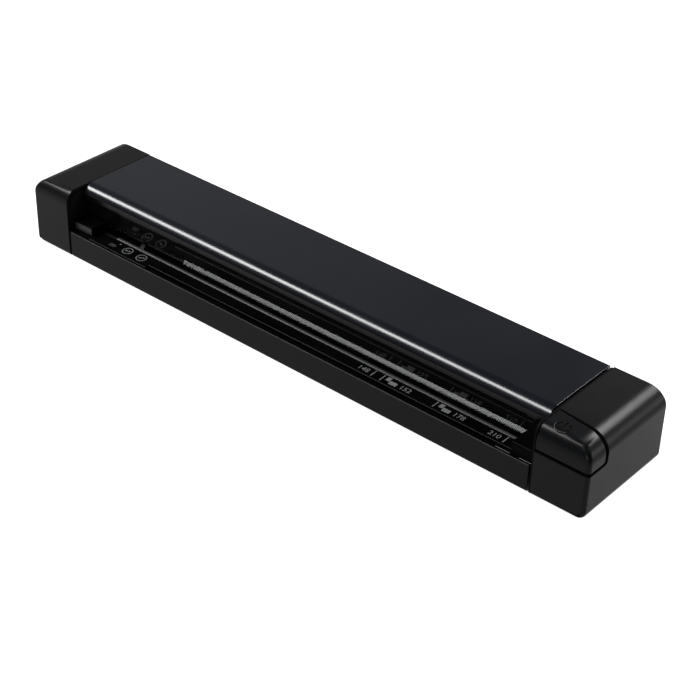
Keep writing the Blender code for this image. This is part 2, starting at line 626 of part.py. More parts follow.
def image_sensor():
    low_z, high_z = SENSOR_Z
    front, rear = SENSOR_Y
    outline = [(front, high_z), (front, low_z + 2.6), (front + 2.4, low_z), (rear - 1.2, low_z)]
    outline += [(rear, low_z + 1.2), (rear, high_z)]
    housing = prism("cis_housing", outline, "x", *SENSOR_X)
    finish(housing, SATIN_BLACK, 0.5)
    glass_x = (SENSOR_X[0] + 1, SENSOR_X[1] - 1)
    glass = box("cis_glass", glass_x, (front + 3.2, rear - 1.6), (low_z - 0.7, low_z - GAP))
    finish(glass, (0.3, 0.32, 0.33), 0.05)
    board = box("cis_board", glass_x, (front + 1, rear - 1), (high_z + GAP, high_z + GAP + 1.2))
    finish(board, BOARD_GREEN, 0.5)
    spring_z = (high_z + 1.8, 27.3)
    for side, x in (("left", -85.0), ("right", 85.0)):
        spring = coil(f"cis_spring_{side}", (x, (front + rear) / 2), 2.0, 0.25, spring_z, 3)
        finish(spring, STEEL, 0.35, 1.0)


def paper_sensor():
    """Flag lever that a sheet pushes down through the throat, and the light gate it works."""
    y, z = LEVER_AXIS
    hub = rod("sensor_lever", LEVER_AXIS, 1.4, "x", (LEVER_X - 2.3, LEVER_X + 2.3), 16)
    trunnion = rod("lever_trunnion", LEVER_AXIS, 0.65, "x", (LEVER_X - 3.8, LEVER_X + 3.8), 10)
    arm = [(y - 0.3, z + 0.9), (y + 0.9, z - 0.3), (y + 4.7, z + 4.0), (y + 4.5, z + 5.1), (y + 3.7, z + 5.2)]
    flag = [(y - 0.9, z), (y - 0.9, z - 4.3), (y + 0.9, z - 4.3), (y + 0.9, z)]
    join(hub, trunnion)
    join(hub, prism("lever_arm", arm, "x", LEVER_X - 1.1, LEVER_X + 1.1))
    join(hub, prism("lever_flag", flag, "x", LEVER_X - 0.5, LEVER_X + 0.5))
    finish(hub, GLOSS_BLACK, 0.4, origin=(LEVER_X, y, z))
    gate = box("sensor_gate", (LEVER_X - 3.5, LEVER_X + 3.5), (y - 2.0, y + 2.0), (2.6, 5.8))
    cut(gate, box("gate_slot", (LEVER_X - 1.1, LEVER_X + 1.1), (y - 4, y + 4), (3.7, 8)))
    finish(gate, MATTE_BLACK, 0.5)


def electronics():
    board = box("main_board", (123.4, 140.0), (-20.5, 20.5), (4.0, 5.0))
    finish(board, BOARD_GREEN, 0.5)
    chip = box("controller_chip", (126.5, 136.5), (-4.0, 6.0), (5.3, 6.5))
    finish(chip, MATTE_BLACK, 0.5)
    socket = box("usb_socket", (127.6, 135.4), (18.0, Y_REAR - 0.3), (5.3, 9.2))
    cut(socket, box("usb_cavity", (128.2, 134.8), (19.2, Y_REAR + 2), (5.9, 8.6)))
    join(socket, box("usb_tongue", (129.2, 133.8), (18.8, Y_REAR - 1.0), (7.3, 8.0)))
    finish(socket, STEEL, 0.3, 1.0)
    x, y = STEM_CENTRE
    finish(box("switch_board", (x - 7, x + 7), (y - 4, y + 5), (9.6, 10.6)), BOARD_GREEN, 0.5)
    finish(box("tact_switch", (x - 3, x + 3), (y - 3, y + 3), (10.9, 14.2)), MATTE_BLACK, 0.5)


def build():
    clear_scene()
    left_cap()
    right_cap()
    power_button()
    top_cover()
    lower_housing()
    side_plates()
    feet_and_screws()
    input_ledge()
    upper_guide()
    paper_deck()
    exit_guide()
    paper_guides()
    rollers()
    gears()
    motor()
    image_sensor()
    paper_sensor()
    electronics()


build()
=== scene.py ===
"""Looks of the sheet fed document scanner: shells, ledge, guides and marks built finely round its frame.

Lengths are in millimetres, and MM turns them into metres. The lights' sizes and distances are in metres.
"""
import math

import bmesh
import bpy
from mathutils import Matrix, Vector
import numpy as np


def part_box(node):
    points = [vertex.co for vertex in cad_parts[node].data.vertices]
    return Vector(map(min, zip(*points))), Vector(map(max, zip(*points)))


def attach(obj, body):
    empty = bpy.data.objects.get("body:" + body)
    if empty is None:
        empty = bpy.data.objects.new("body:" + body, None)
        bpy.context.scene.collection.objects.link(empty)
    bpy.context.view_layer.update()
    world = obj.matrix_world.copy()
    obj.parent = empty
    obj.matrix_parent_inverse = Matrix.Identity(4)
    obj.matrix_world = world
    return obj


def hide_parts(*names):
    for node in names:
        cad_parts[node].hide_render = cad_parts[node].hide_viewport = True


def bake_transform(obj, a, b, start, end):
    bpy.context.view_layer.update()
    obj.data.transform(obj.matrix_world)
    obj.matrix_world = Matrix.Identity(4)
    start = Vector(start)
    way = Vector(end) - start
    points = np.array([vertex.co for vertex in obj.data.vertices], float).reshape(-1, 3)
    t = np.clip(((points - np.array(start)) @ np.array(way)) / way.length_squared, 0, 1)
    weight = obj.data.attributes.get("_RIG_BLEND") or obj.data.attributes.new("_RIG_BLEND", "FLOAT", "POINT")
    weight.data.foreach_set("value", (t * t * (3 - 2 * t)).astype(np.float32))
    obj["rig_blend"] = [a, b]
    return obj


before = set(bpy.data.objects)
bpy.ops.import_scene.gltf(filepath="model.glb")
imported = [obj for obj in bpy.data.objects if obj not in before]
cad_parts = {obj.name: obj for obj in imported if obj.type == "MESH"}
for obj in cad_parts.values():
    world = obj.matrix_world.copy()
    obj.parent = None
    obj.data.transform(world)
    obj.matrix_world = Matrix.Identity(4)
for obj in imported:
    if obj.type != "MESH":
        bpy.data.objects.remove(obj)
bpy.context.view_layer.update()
MM = 0.001

# End caps
WALL = 1.6                   # thickness of the shells
CAP_TOP_RADIUS = 8.3         # rounding of the outer top edge, in the view from the front
CAP_BOTTOM_RADIUS = 3.5
CAP_NOSE_RADIUS = 5.2        # rounding of the front top edge
CAP_EDGE_RADIUS = 1.6        # all the other outer edges, but for those at the back
REAR_EDGE_RADIUS = 0.3
LEAST_RADIUS = 0.3           # smallest rounding left on a shrunken cap solid
SEAM_DEPTH = 0.45            # how deep the seam beside the right cap is
POCKET_GAP = 0.3             # room round a foot in its pocket

# Cover and lower housing
LIP_Y = -9.2                 # centre line of the rolled front lip
LIP_RADIUS = 6.5
LIP_END_ANGLE = 156.0
COVER_CORNER = 0.8
EXIT_X = (-108.0, 112.0)
EXIT_TOP_Z = 16.5
HOUSING_RIM_Z = 12.1
HOUSING_REAR_Z = 11.9
HOUSING_RIM = 0.6            # thickness of the housing's front wall above its rebate
HOUSING_FRONT_CORNER = 1.2
HOUSING_REAR_CORNER = 0.8
REBATE_Z = 9.6

# Power button and the notch it sits in
BUTTON_Z = 21.1
BUTTON_CORNER = 1.0          # rounding of the button's lower back corner
BUTTON_GROOVE_Y = 0.8        # width of the dark line behind the button
BUTTON_GROOVE_Z = 1.6        # and of the one below it
BUTTON_SLANT = 0.15          # how far the back of the button runs forward per mm towards the end
NOTCH_SLANT = 0.10
NOTCH_WEB = 1.4              # thickness of the notch's own floor and back wall
STEM_CENTRE = (131.0, -16.5)
STEM_RADIUS = 1.2
SYMBOL_CENTRE = (128.3, -18.9)
SYMBOL_RADIUS = 2.6
SYMBOL_STROKE = 0.8
SYMBOL_DEPTH = 0.3
SYMBOL_GAP = 36              # half of the ring's opening, in degrees
SYMBOL_HIGHLIGHT = 0.2             # width of the painted highlight beside the ring, and its distance from it

# Small hardware
SPRING_WIRE = 0.25           # radius of the wire
SPRING_TURN_STEPS = 24
SPRING_SIDES = 10
USB_CORNER = 0.6
USB_WALL = 0.35
SCREW_HOLE_RADIUS = 1.5
SCREW_SINK_RADIUS = 3.1
SCREW_SINK_DEPTH = 0.9
SCREW_HEAD_RADIUS = 2.6
SCREW_HEAD_HEIGHT = 0.5
SCREW_SHANK_RADIUS = 1.0
SCREW_DRIVE = (2.9, 0.75)    # length and width of each slot of the cross
SCREW_DRIVE_DEPTH = 0.45

# Ledge
LEDGE_Z = 12.7
LEDGE_THICK = 1.3
LEDGE_FRONT_DROP = 2.8       # how far the ledge's front edge reaches down
LEDGE_FRONT_BACK_Y = -19.2   # back of that edge
LEDGE_REAR_DROP = (1.4, 2.4)
RIDGE_Y = -14.65
RIDGE_RADIUS = 1.4
RIDGE_HEIGHT = 0.4
RIDGE_HIGHLIGHT_WIDTH = 1.5             # width of the lighter band along the ridge, a painted highlight
RIDGE_HIGHLIGHT_X = (-102.0, 108.0)
MIRROR_THICK = 1.2
MIRROR_TOP_Z = 25.7          # where the polish of the wall ends and its satin strip begins
MIRROR_RISE = 1.3            # how far the strip reaches up behind the lip
EDGE_HIGHLIGHT_WIDTH = 0.35             # width of the painted highlight bands along the edges of the groove, the ledge and the rim
BAND_PROUD = 0.02            # how far such a band stands out
BAND_SUNK = 0.1              # and how far it reaches in
GROOVE_LEFT_X = -77.0
GROOVE_Y = -21.1
GROOVE_Z = 11.1
LEVER_SLOT_Y = -14.0
LEVER_SLOT_HALF = 1.7
GUIDE_X = (110.4, 119.4)
GUIDE_FRONT_Y = -22.8
GUIDE_NOSE = 1.0
GUIDE_SHOE_TOP_Z = 12.4
STOP_NOSE = 0.4

# Marks on the ledge
INK_Z = (0.005, 0.03)        # underside and top of the ink, above the ledge
SCALE_ZERO_X = -105.6
SCALE_WIDTHS = (148.0, 152.4, 177.8, 210.0)
PAGE_WIDTHS = (152.4, 177.8)  # those with two small pages beside their tick
TICK_Y = -19.8
TICK_SIZE = (0.4, 4.0)
PAGE_GAP = 1.6               # from a tick to the pages beside it
NUMBER_Y = -19.2
NUMBER_Z = 0.02              # middle of the number's thickness, above the ledge
NUMBER_HALF_THICK = 0.012
NUMBER_HEIGHT = 2.5
DIGIT_SHARE = 0.7            # a digit's height as a share of the font's size
NUMBER_LEFT = -7.4           # from a tick to the number written left of it
NUMBER_RIGHT = 8.6           # and to the one written right of its pages
ICON_X = (-91.8, -83.5)
ICON_Y = -18.9
ICON_RADII = (2.5, 2.0)
DOT_CENTRE = (-98.0, -17.2)
SHEET_CENTRE = (-99.9, -19.9)

# Camera
CAMERA_AIM = (15.0, 0.75, 1.6)
CAMERA_DISTANCE = 677.3
CAMERA_AZIMUTH = 39.68
CAMERA_ELEVATION = 33.89
CAMERA_ROLL = 1.73           # degrees, like the two above
CAMERA_LENS = 87.4

# Materials
NOISE_RANGE = (0.3, 0.7)     # what a noise texture mostly keeps within
SMOOTH_BELOW = 48            # degrees between faces

# Floor and world light
FLOOR_HALF_WIDTH = 6.0                       # in metres
BACKDROP_DIRECTION = (-0.87, 0.48, 0.08)     # towards the middle of the bright patch
BACKDROP_DARK = 0.03
BACKDROP_BRIGHT = 0.55
BACKDROP_EDGE = (0.65, 0.92)                 # cosines at which the patch starts and is full
HORIZON_GLOW = 0.15
HORIZON_HEIGHT = (0.05, 0.45)                # direction heights between which the glow fades out


def span(node):
    """Lowest and highest corner of a CAD node, in millimetres."""
    low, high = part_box(node)
    return [v / MM for v in low], [v / MM for v in high]


def disc(node):
    """Centre in plan and radius of an upright round CAD node."""
    low, high = span(node)
    return ((low[0] + high[0]) / 2, (low[1] + high[1]) / 2), (high[0] - low[0]) / 2


# ---------------------------------------------------------------- mesh tools

def arc(cx, cy, radius, start, end, steps):
    """Points along part of a circle, between two angles in degrees."""
    points = []
    for i in range(steps + 1):
        angle = math.radians(start + (end - start) * i / steps)
        points.append((cx + radius * math.cos(angle), cy + radius * math.sin(angle)))
    return points


def circle(centre, radius, steps):
    """Points round a whole circle, the first one not repeated."""
    return arc(centre[0], centre[1], radius, 0, 360 - 360 / steps, steps - 1)


def new_piece(name, bm):
    """An object in the scene from a finished bmesh."""
    bmesh.ops.recalc_face_normals(bm, faces=bm.faces)
    mesh = bpy.data.meshes.new(name)
    bm.to_mesh(mesh)
    bm.free()
    piece = bpy.data.objects.new(name, mesh)
    bpy.context.scene.collection.objects.link(piece)
    return piece


def on_axis(axis, along, point):
    """A point of an outline, moved along an axis, in metres."""
    a, b = point
    return Vector({"x": (along, a, b), "y": (a, along, b), "z": (a, b, along)}[axis]) * MM


def prism(name, outline, axis, low, high):
    """Closed extrusion of an outline: (y, z) along x, (x, z) along y, (x, y) along z."""
    bm = bmesh.new()
    near = [bm.verts.new(on_axis(axis, low, p)) for p in outline]
    far = [bm.verts.new(on_axis(axis, high, p)) for p in outline]
    bm.faces.new(near)
    bm.faces.new(far)
    for i in range(len(outline)):
        j = (i + 1) % len(outline)
        bm.faces.new((near[i], near[j], far[j], far[i]))
    return new_piece(name, bm)


def block(name, xs, ys, zs):
    return prism(name, [(ys[0], zs[0]), (ys[1], zs[0]), (ys[1], zs[1]), (ys[0], zs[1])], "x", *xs)


def lathe(name, centre, profile, steps=64):
    """Turn (x, radius) points about an axis along X; a closed profile gives a ring."""
    bm = bmesh.new()
    rings = [[bm.verts.new(on_axis("x", x, p)) for p in circle(centre, r, steps)] for x, r in profile]
    for ring, after in zip(rings, rings[1:] + rings[:1]):
        for i in range(steps):
            j = (i + 1) % steps
            bm.faces.new((ring[i], ring[j], after[j], after[i]))
    return new_piece(name, bm)


def settle(piece):
    """Apply the piece's modifiers."""
    view = bpy.context.evaluated_depsgraph_get()
    mesh = bpy.data.meshes.new_from_object(piece.evaluated_get(view))
    piece.modifiers.clear()
    piece.data = mesh
    return piece


def change(piece, tool, operation):
    """Boolean of a piece with a tool, which is used up."""
    step = piece.modifiers.new("tool", "BOOLEAN")
    step.operation = operation
    step.solver = "EXACT"
    step.object = tool
    settle(piece)
    bpy.data.objects.remove(tool)
    return piece


def cut(piece, *tools):
    for tool in tools:
        change(piece, tool, "DIFFERENCE")
    return piece


def join(piece, *tools):
    for tool in tools:
        change(piece, tool, "UNION")
    return piece


def soften(piece, width, segments=3, angle=50):
    """Small rounding on every sharp edge."""
    step = piece.modifiers.new("soften", "BEVEL")
    step.width = width * MM
    step.segments = segments
    step.limit_method = "ANGLE"
    step.angle_limit = math.radians(angle)
    step.use_clamp_overlap = True
    step.miter_outer = "MITER_ARC"
    settle(piece)
    return piece


def shade(piece):
    """Smooth shading that leans on the large flat faces."""
    piece.data.shade_smooth()
    piece.data.set_sharp_from_angle(angle=math.radians(SMOOTH_BELOW))
    step = piece.modifiers.new("shade", "WEIGHTED_NORMAL")
    step.mode = "FACE_AREA"
    step.weight = 60
    step.keep_sharp = True
    settle(piece)
    return piece


def place(piece, material, body, slot, *nodes):
    """Give a finished piece its material and its body, and hide the CAD nodes it stands for. The slot
    argument is not used.
    """
    piece.data.materials.clear()
    piece.data.materials.append(material)
    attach(piece, body)
    if nodes:
        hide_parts(*nodes)
    return piece


# ---------------------------------------------------------------- materials

def new_material(name, colour, roughness, metallic=0.0, specular=0.5):
    material = bpy.data.materials.new(name)
    material.use_nodes = True
    shader = material.node_tree.nodes["Principled BSDF"]
    shader.inputs["Base Color"].default_value = (*colour, 1.0)
    shader.inputs["Roughness"].default_value = roughness
    shader.inputs["Metallic"].default_value = metallic
    shader.inputs["Specular IOR Level"].default_value = specular
    return material, shader


def noise(material, scale, detail=3.0, stretch=None):
    """A noise texture in object space; stretch draws it out along an axis."""
    nodes, links = material.node_tree.nodes, material.node_tree.links
    coords = nodes.new("ShaderNodeTexCoord")
    source = coords.outputs["Object"]
    if stretch:
        mapping = nodes.new("ShaderNodeMapping")
        mapping.inputs["Scale"].default_value = stretch
        links.new(source, mapping.inputs["Vector"])
        source = mapping.outputs["Vector"]
    texture = nodes.new("ShaderNodeTexNoise")
    texture.inputs["Scale"].default_value = scale
    texture.inputs["Detail"].default_value = detail
    links.new(source, texture.inputs["Vector"])
    return texture.outputs["Fac"]


def vary_roughness(material, shader, factor, low, high):
    """Let a texture's factor drive the sheen."""
    ramp = material.node_tree.nodes.new("ShaderNodeMapRange")
    ramp.inputs["From Min"].default_value = NOISE_RANGE[0]
    ramp.inputs["From Max"].default_value = NOISE_RANGE[1]
    ramp.inputs["To Min"].default_value = low
    ramp.inputs["To Max"].default_value = high
    material.node_tree.links.new(factor, ramp.inputs["Value"])
    material.node_tree.links.new(ramp.outputs["Result"], shader.inputs["Roughness"])


def vary_colour(material, shader, factor, dark, light):
    """Let a texture's factor drive the colour."""
    ramp = material.node_tree.nodes.new("ShaderNodeValToRGB")
    for stop, position, colour in zip(ramp.color_ramp.elements, NOISE_RANGE, (dark, light)):
        stop.position = position
        stop.color = (*colour, 1.0)
    material.node_tree.links.new(factor, ramp.inputs["Fac"])
    material.node_tree.links.new(ramp.outputs["Color"], shader.inputs["Base Color"])


def add_bump(material, shader, factor, height_mm):
    bump = material.node_tree.nodes.new("ShaderNodeBump")
    bump.inputs["Strength"].default_value = 1.0
    bump.inputs["Distance"].default_value = height_mm * MM
    material.node_tree.links.new(factor, bump.inputs["Height"])
    material.node_tree.links.new(bump.outputs["Normal"], shader.inputs["Normal"])


def moulded(name, colour, roughness, specular, grain=None):
    """Moulded plastic with slow drifts of colour and sheen, and grain of a (size, height) in mm."""
    material, shader = new_material(name, colour, roughness, specular=specular)
    slow = noise(material, 28.0, 4.0)
    vary_roughness(material, shader, slow, roughness * 0.88, roughness * 1.12)
    vary_colour(material, shader, slow, [c * 0.93 for c in colour], [c * 1.07 for c in colour])
    if grain:
        size, height = grain
        add_bump(material, shader, noise(material, 1.0 / (size * MM), 2.0), height)
    return material


def polished(name, colour, roughness, specular=0.5):
    """Polished black plastic with faint hairline wiping marks in its sheen."""
    material, shader = new_material(name, colour, roughness, specular=specular)
    wipes = noise(material, 240.0, 2.0, stretch=(0.15, 1.0, 1.0))
    vary_roughness(material, shader, wipes, roughness * 0.75, roughness * 1.35)
    slow = noise(material, 40.0, 3.0)
    vary_colour(material, shader, slow, [c * 0.9 for c in colour], [c * 1.1 for c in colour])
    return material


def rubber(name, dark, light, roughness):
    material, shader = new_material(name, light, roughness, specular=0.3)
    vary_colour(material, shader, noise(material, 900.0, 5.0), dark, light)
    add_bump(material, shader, noise(material, 2200.0, 3.0), 0.03)
    return material


def metal(name, colour, roughness, stretch=(0.05, 1.0, 1.0)):
    material, shader = new_material(name, colour, roughness, metallic=1.0)
    lines = noise(material, 3000.0, 2.0, stretch=stretch)
    vary_roughness(material, shader, lines, roughness * 0.7, roughness * 1.4)
    add_bump(material, shader, lines, 0.002)
    return material


def circuit_board(name):
    """Solder mask over copper tracks, from squared-off cells."""
    material, shader = new_material(name, (0.02, 0.13, 0.05), 0.4)
    nodes, links = material.node_tree.nodes, material.node_tree.links
    coords = nodes.new("ShaderNodeTexCoord")
    cells = nodes.new("ShaderNodeTexVoronoi")
    cells.distance = "MANHATTAN"
    cells.feature = "DISTANCE_TO_EDGE"
    cells.inputs["Scale"].default_value = 420.0
    links.new(coords.outputs["Object"], cells.inputs["Vector"])
    vary_colour(material, shader, cells.outputs["Distance"], (0.03, 0.20, 0.08), (0.012, 0.09, 0.035))
    return material


def make_materials():
    """Looks by name; colours are linear, and the darkest need the strong studio lights."""
    return {
        "cap": moulded("cap_plastic", (0.0018, 0.0018, 0.0019), 0.33, 0.055, grain=(0.22, 0.006)),
        "housing": moulded("housing_plastic", (0.0020, 0.0021, 0.0019), 0.36, 0.045, grain=(0.22, 0.006)),
        "cover": moulded("cover_plastic", (0.0022, 0.0024, 0.0034), 0.20, 0.15, grain=(0.12, 0.002)),
        "button": moulded("button_plastic", (0.0012, 0.0013, 0.0015), 0.32, 0.055, grain=(0.18, 0.005)),
        "gloss": polished("gloss_plastic", (0.0008, 0.0008, 0.0009), 0.05, 0.55),
        # painted shade: this black is set darker than the plastic's own, standing in for the shade under the
        # lip; the stop block and the sliding guide share it
        "ledge": polished("ledge_plastic", (0.0003, 0.0003, 0.0004), 0.50, 0.012),
        "chassis": polished("chassis_plastic", (0.0020, 0.0020, 0.0023), 0.35, 0.06),
        "inner": moulded("inner_plastic", (0.0025, 0.0025, 0.0028), 0.55, 0.06, grain=(0.2, 0.01)),
        "roller": rubber("roller_rubber", (0.36, 0.37, 0.37), (0.50, 0.51, 0.51), 0.75),
        "foot": rubber("foot_rubber", (0.012, 0.012, 0.012), (0.026, 0.026, 0.027), 0.85),
        "steel": metal("ground_steel", (0.56, 0.56, 0.58), 0.28),
        "bronze": metal("sintered_bronze", (0.50, 0.33, 0.16), 0.4, (1.0, 1.0, 1.0)),
        "nylon": moulded("nylon", (0.72, 0.71, 0.66), 0.45, 0.5, grain=(0.3, 0.008)),
        "board": circuit_board("solder_mask"),
        # the print's light grey; it also paints the highlight along the guide shoe's top edge
        "ink": moulded("print_ink_and_highlight", (0.05, 0.051, 0.051), 0.55, 0.2),
        "icon_ink": moulded("icon_ink", (0.035, 0.036, 0.036), 0.55, 0.15),
        "faint_ink": moulded("faint_ink", (0.008, 0.008, 0.008), 0.55, 0.1),
        # painted highlight: lighter and shinier than the ledge, for the bands along the ridge top, the
        # groove's edge and the ledge's front edge
        "painted_highlight": moulded("painted_edge_highlight", (0.010, 0.0102, 0.0105), 0.45, 0.15),
        # painted light: a lighter grey than the stop block's black, for the face piece on its lit front
        "stop": moulded("stop_face_painted_light", (0.003, 0.003, 0.003), 0.35, 0.18, grain=(0.2, 0.003)),
        "strip": moulded("strip_plastic", (0.0008, 0.0008, 0.0009), 0.25, 0.11),
        # painted highlight: light grey for the band along the housing rim and the arc beside the power
        # symbol
        "rim": moulded("rim_highlight", (0.020, 0.020, 0.019), 0.45, 0.2),
        # painted shade: near-black and barely reflecting, for the web in the seam beside the right cap and
        # the floor of the sunken power symbol
        "painted_shade": moulded("painted_shade_black", (0.0004, 0.0004, 0.0005), 0.6, 0.02),
    }


MATERIALS = make_materials()


# ---------------------------------------------------------------- casing

def rounded_block(name, low, high, radius_of, segments=16):
    """A box whose edges are rounded by radius_of(axis, ends), ends naming the two faces an edge joins."""
    bm = bmesh.new()
    bmesh.ops.create_cube(bm, size=1.0)
    size = [h - l for l, h in zip(low, high)]
    for vert in bm.verts:
        vert.co = Vector([(l + (c + 0.5) * s) * MM for l, c, s in zip(low, vert.co, size)])
    piece = new_piece(name, bm)
    mesh = piece.data
    radii = []
    for edge in mesh.edges:
        a, b = (mesh.vertices[i].co / MM for i in edge.vertices)
        axis = max(range(3), key=lambda k: abs(a[k] - b[k]))
        middle = (a + b) / 2
        ends = {k: (1 if middle[k] > (low[k] + high[k]) / 2 else -1) for k in range(3) if k != axis}
        radii.append(radius_of(axis, ends))
    largest = max(radii)
    weights = mesh.attributes.new("bevel_weight_edge", "FLOAT", "EDGE")
    for item, radius in zip(weights.data, radii):
        item.value = radius / largest
    step = piece.modifiers.new("round", "BEVEL")
    step.limit_method = "WEIGHT"
    step.width = largest * MM
    step.segments = segments
    step.use_clamp_overlap = False
    return settle(piece)


def round_off(piece, radius, rim_x, rear_y):
    """Round the edges still sharp, barely so at the back, leaving those that lie in the rim plane."""
    bm = bmesh.new()
    bm.from_mesh(piece.data)
    layers = bm.edges.layers.float
    layer = layers.get("bevel_weight_edge") or layers.new("bevel_weight_edge")
    for edge in bm.edges:
        on_rim = all(abs(vert.co.x / MM - rim_x) < 0.01 for vert in edge.verts)
        sharp = len(edge.link_faces) == 2 and edge.calc_face_angle() > math.radians(50)
        on_rear = all(abs(vert.co.y / MM - rear_y) < 0.01 for vert in edge.verts)
        weight = REAR_EDGE_RADIUS / CAP_EDGE_RADIUS if on_rear else 1.0
        edge[layer] = weight if sharp and not on_rim else 0.0
    bm.to_mesh(piece.data)
    bm.free()
    step = piece.modifiers.new("edges", "BEVEL")
    step.limit_method = "WEIGHT"
    step.width = radius * MM
    step.segments = 8
    step.use_clamp_overlap = False
    return settle(piece)


def cap_solid(name, node, side, inset):
    """Solid outer shape of an end cap, shrunk by inset on its outer faces; side is -1 left, +1 right."""
    low, high = span(node)
    low = [low[0] + inset, low[1] + inset, low[2] + inset]
    high = [high[0] - inset, high[1] - inset, high[2] - inset]
    if side < 0:
        high[0] += 2 * inset
    else:
        low[0] -= 2 * inset

    def radius_of(axis, ends):
        if ends.get(0) == -side or axis == 2:
            return 0.0
        if axis == 1:
            return (CAP_TOP_RADIUS if ends[2] > 0 else CAP_BOTTOM_RADIUS) - inset
        nose = ends[1] < 0 and ends[2] > 0
        return CAP_NOSE_RADIUS - inset if nose else 0.0

    solid = rounded_block(name, low, high, radius_of)
    rim_x = high[0] if side < 0 else low[0]
    return round_off(solid, max(CAP_EDGE_RADIUS - inset, LEAST_RADIUS), rim_x, high[1])


def foot_pockets(cap, side):
    """Blind holes in a cap's floor for its two feet."""
    for i in range(1, 5):
        centre, radius = disc(f"foot_{i}")
        if centre[0] * side > 0:
            top = span(f"foot_{i}")[1][2] + POCKET_GAP
            cut(cap, prism("pocket", circle(centre, radius + POCKET_GAP, 48), "z", -1, top))


def left_cap():
    cap = cap_solid("left_cap_shell", "left_cap", -1, 0)
    cut(cap, cap_solid("cavity", "left_cap", -1, WALL))
    foot_pockets(cap, -1)
    soften(cap, 0.18)
    place(shade(cap), MATERIALS["cap"], "casing", "shell_matte", "left_cap")


def slanted(piece, slant):
    """Shear a piece towards the front as it goes away from the right seam."""
    seam_x = span("right_cap")[0][0] * MM
    for vert in piece.data.vertices:
        vert.co.y -= slant * (vert.co.x - seam_x)
    return piece


def corner_profile(front, back, bottom, top, radius):
    """Outline in (y, z) of a block whose lower back corner is rounded."""
    turn = arc(back - radius, bottom + radius, radius, 270, 360, 12)
    return [(front, top), (front, bottom)] + turn + [(back, top)]


def right_cap():
    """Cap with a slanted notch for the power button, closed by a floor and a back wall of its own."""
    low, high = span("right_cap")
    notch_y = span("power_button")[1][1] + BUTTON_GROOVE_Y
    notch_z = BUTTON_Z - BUTTON_GROOVE_Z
    cap = cap_solid("right_cap_shell", "right_cap", 1, 0)
    cut(cap, cap_solid("cavity", "right_cap", 1, WALL))
    inner_x = (span("right_side_plate")[1][0] + 0.3, high[0] - WALL / 2)
    web_y, web_z = notch_y + NOTCH_WEB, notch_z - NOTCH_WEB
    floor = block("floor", inner_x, (low[1] + WALL / 2, web_y), (web_z, notch_z + 0.3))
    wall = block("wall", inner_x, (notch_y - 0.3, web_y), (notch_z - 0.5, high[2] - WALL / 2))
    for web in (floor, wall):
        change(web, cap_solid("trim", "right_cap", 1, WALL / 2), "INTERSECT")
    join(cap, floor, wall)
    corner = BUTTON_CORNER + BUTTON_GROOVE_Y
    notch = corner_profile(low[1] - 2, notch_y, notch_z, high[2] + 2, corner)
    cut(cap, slanted(prism("notch", notch, "x", low[0] - 2, high[0] + 2), NOTCH_SLANT))
    socket_low, socket_high = span("usb_socket")
    window_x = (socket_low[0] - 0.6, socket_high[0] + 0.6)
    window_z = (socket_low[2] - 0.4, socket_high[2] + 0.4)
    cut(cap, block("window", window_x, (high[1] - 4, high[1] + 2), window_z))
    foot_pockets(cap, 1)
    place(shade(cap), MATERIALS["cap"], "casing", "shell_matte", "right_cap")


def seam_liner():
    """Dark web that closes the wide seam between the cover and the right cap; its near-black colour is
    painted shade for the dark of the open seam.
    """
    low, high = span("right_cap")
    front, rear = low[1] + SEAM_DEPTH, high[1] - SEAM_DEPTH
    base, top = low[2] + SEAM_DEPTH, high[2] - SEAM_DEPTH
    nose = CAP_NOSE_RADIUS - SEAM_DEPTH
    outline = [(rear, top), (rear, base), (front, base)]
    outline += arc(front + nose, top - nose, nose, 180, 90, 10)
    web = prism("seam_liner", outline, "x", span("input_ledge")[1][0] + 0.1, low[0] - 0.05)
    place(shade(web), MATERIALS["painted_shade"], "casing", "inner_black")


def power_symbol(centre, radius, stroke, zs):
    """Ring open towards +Y with a bar in the opening, as upright prisms."""
    start, end = 90 + SYMBOL_GAP, 450 - SYMBOL_GAP
    outer = arc(*centre, radius + stroke / 2, start, end, 40)
    inner = arc(*centre, radius - stroke / 2, end, start, 40)
    x, y = centre
    left, right = x - stroke / 2, x + stroke / 2
    foot, tip = y - 0.1, y + radius * 1.15
    bar = [(left, foot), (right, foot), (right, tip), (left, tip)]
    return prism("ring", outer + inner, "z", *zs), prism("bar", bar, "z", *zs)


